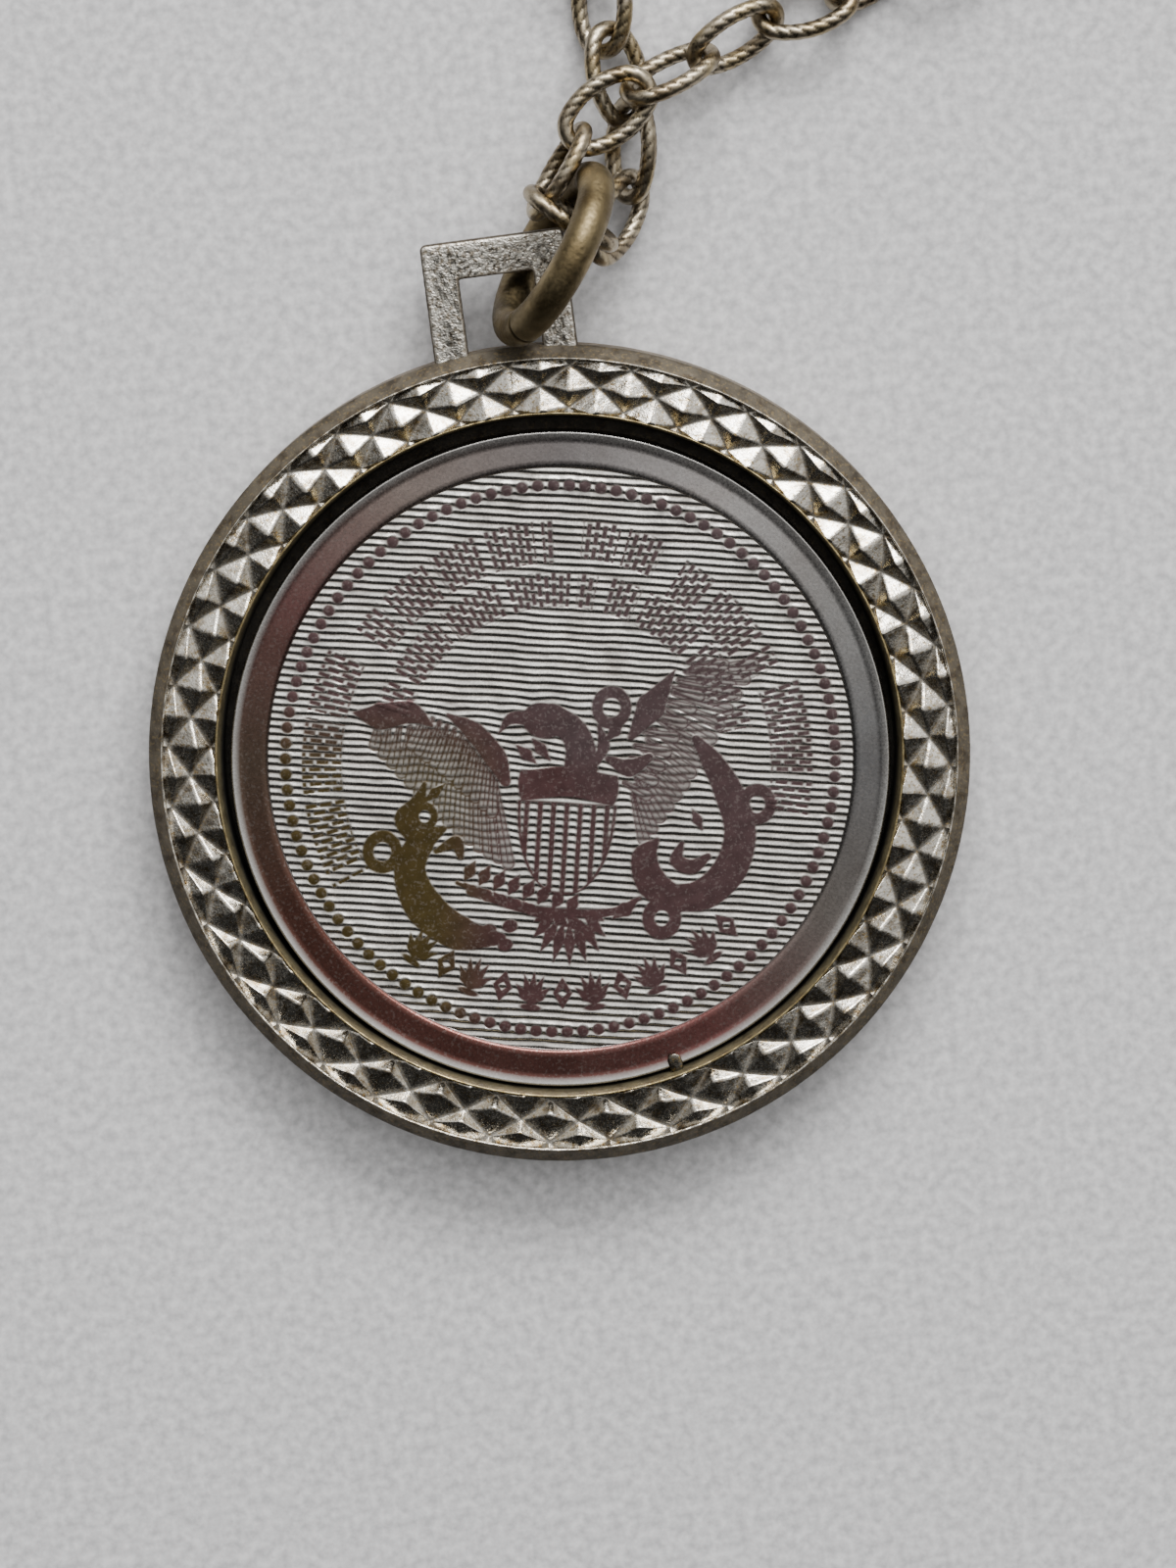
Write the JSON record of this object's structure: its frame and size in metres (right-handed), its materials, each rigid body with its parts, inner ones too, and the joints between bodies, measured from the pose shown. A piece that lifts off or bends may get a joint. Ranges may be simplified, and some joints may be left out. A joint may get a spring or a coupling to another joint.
{
  "type": "coin medallion pendant with chain",
  "caption": "Round struck coin held in a diamond-cut bezel with a square bail, a wire ring through the bail and a cable chain with a bolt-ring clasp.",
  "frame": {"origin": "on the bezel's axis at its back face, which lies on the table", "axes": "+Z the way the coin faces, +Y from the coin to the bail, +X to the viewer's right"},
  "size_m": [0.0648, 0.1013, 0.0103],
  "materials": {
    "bezel_silver": "bright diamond-cut facets, tarnished brown in the recesses",
    "coin_silver": "satin struck relief with a polished border, toned grey to plum",
    "aged_brass": "aged satin, pitted",
    "chain_silver": "worn silver plate with brass showing, finely cut",
    "clasp_brass": "satin",
    "spring_steel": "satin"
  },
  "bodies": {
    "pendant": {"bezel_frame": "bezel_silver", "coin": "coin_silver"},
    "wire_ring": {"bail_ring": "aged_brass"},
    "link_1": {"chain_link_1": "chain_silver"},
    "link_2": {"chain_link_2": "chain_silver"},
    "link_3": {"chain_link_3": "chain_silver"},
    "link_4": {"chain_link_4": "chain_silver"},
    "link_5": {"chain_link_5": "chain_silver"},
    "link_6": {"chain_link_6": "chain_silver"},
    "link_7": {"chain_link_7": "chain_silver"},
    "link_8": {"chain_link_8": "chain_silver"},
    "link_9": {"chain_link_9": "chain_silver"},
    "link_10": {"chain_link_10": "chain_silver"},
    "left_chain": {"left_lead": "chain_silver", "left_coil_1": "chain_silver", "left_coil_2": "chain_silver", "left_coil_3": "chain_silver", "left_coil_4": "chain_silver"},
    "right_chain": {"right_lead": "chain_silver", "right_coil_1": "chain_silver", "right_coil_2": "chain_silver", "right_coil_3": "chain_silver", "right_coil_4": "chain_silver"},
    "jump_ring": {"clasp_jump_ring": "clasp_brass"},
    "clasp": {"clasp_ring": "clasp_brass", "clasp_spring": "spring_steel"},
    "gate": {"clasp_gate": "spring_steel"},
    "end_ring_body": {"end_ring": "clasp_brass"}
  },
  "joints": [
    {"name": "ring_swing", "type": "hinge", "parent": "pendant", "child": "wire_ring", "pos_m": [0, 0.0262, 0.0032], "axis": [1, 0, 0], "range_deg": [0, 5]},
    {"name": "link_5_hinge", "type": "hinge", "parent": "wire_ring", "child": "link_5", "pos_m": [0.00548, 0.02942, 0.00458], "axis": [0, 0, 1], "range_deg": [-10, 8]},
    {"name": "link_4_hinge", "type": "hinge", "parent": "link_5", "child": "link_4", "pos_m": [0.00562, 0.02662, 0.00351], "axis": [0, 0, 1], "range_deg": [-3, 1]},
    {"name": "link_3_hinge", "type": "hinge", "parent": "link_4", "child": "link_3", "pos_m": [0.00758, 0.02926, 0.00209], "axis": [0, 0, 1], "range_deg": [-3, 2]},
    {"name": "link_2_hinge", "type": "hinge", "parent": "link_3", "child": "link_2", "pos_m": [0.00793, 0.03308, 0.00184], "axis": [0, 0, 1], "range_deg": [-4.5, 16]},
    {"name": "link_1_hinge", "type": "hinge", "parent": "link_2", "child": "link_1", "pos_m": [0.00739, 0.03697, 0.00163], "axis": [0, 0, 1], "range_deg": [-10, 12]},
    {"name": "left_chain_hinge", "type": "hinge", "parent": "link_1", "child": "left_chain", "pos_m": [0.00719, 0.04071, 0.00125], "axis": [0, 0, 1], "range_deg": [-10, 10]},
    {"name": "link_6_hinge", "type": "hinge", "parent": "link_5", "child": "link_6", "pos_m": [0.00299, 0.02882, 0.00415], "axis": [0, 0, 1], "range_deg": [0, 5]},
    {"name": "link_7_hinge", "type": "hinge", "parent": "link_6", "child": "link_7", "pos_m": [0.00547, 0.032, 0.00418], "axis": [0, 0, 1], "range_deg": [-1, 8]},
    {"name": "link_8_hinge", "type": "hinge", "parent": "link_7", "child": "link_8", "pos_m": [0.00906, 0.03382, 0.00373], "axis": [0, 0, 1], "range_deg": [-6, 8]},
    {"name": "link_9_hinge", "type": "hinge", "parent": "link_8", "child": "link_9", "pos_m": [0.01248, 0.03507, 0.00248], "axis": [0, 0, 1], "range_deg": [-8, 10]},
    {"name": "link_10_hinge", "type": "hinge", "parent": "link_9", "child": "link_10", "pos_m": [0.01614, 0.03655, 0.00169], "axis": [0, 0, 1], "range_deg": [-20, 10]},
    {"name": "right_chain_hinge", "type": "hinge", "parent": "link_10", "child": "right_chain", "pos_m": [0.02004, 0.03738, 0.00136], "axis": [0, 0, 1], "range_deg": [-20, 10]},
    {"name": "jump_ring_hinge", "type": "hinge", "parent": "left_chain", "child": "jump_ring", "pos_m": [-0.01, 0.05624, 0.00134], "axis": [-0.2458, -0.6697, 0.7007], "range_deg": [-25, 0]},
    {"name": "clasp_hinge", "type": "hinge", "parent": "jump_ring", "child": "clasp", "pos_m": [-0.01155, 0.05803, 0.00228], "axis": [0, 0, -1], "range_deg": [0, 40]},
    {"name": "gate_slide", "type": "hinge", "parent": "clasp", "child": "gate", "pos_m": [-0.01375, 0.06209, 0.00131], "axis": [0.0973, -0.1641, -0.9816], "range_deg": [0, 65], "stiffness_Nm_per_rad": 0.00002, "springref_deg": -20.05, "deforming": ["clasp_spring"]},
    {"name": "end_ring_hinge", "type": "hinge", "parent": "right_chain", "child": "end_ring_body", "pos_m": [0.03186, 0.05835, 0.00156], "axis": [-0.6501, -0.2939, 0.7007], "range_deg": [-45, 25]}
  ]
}
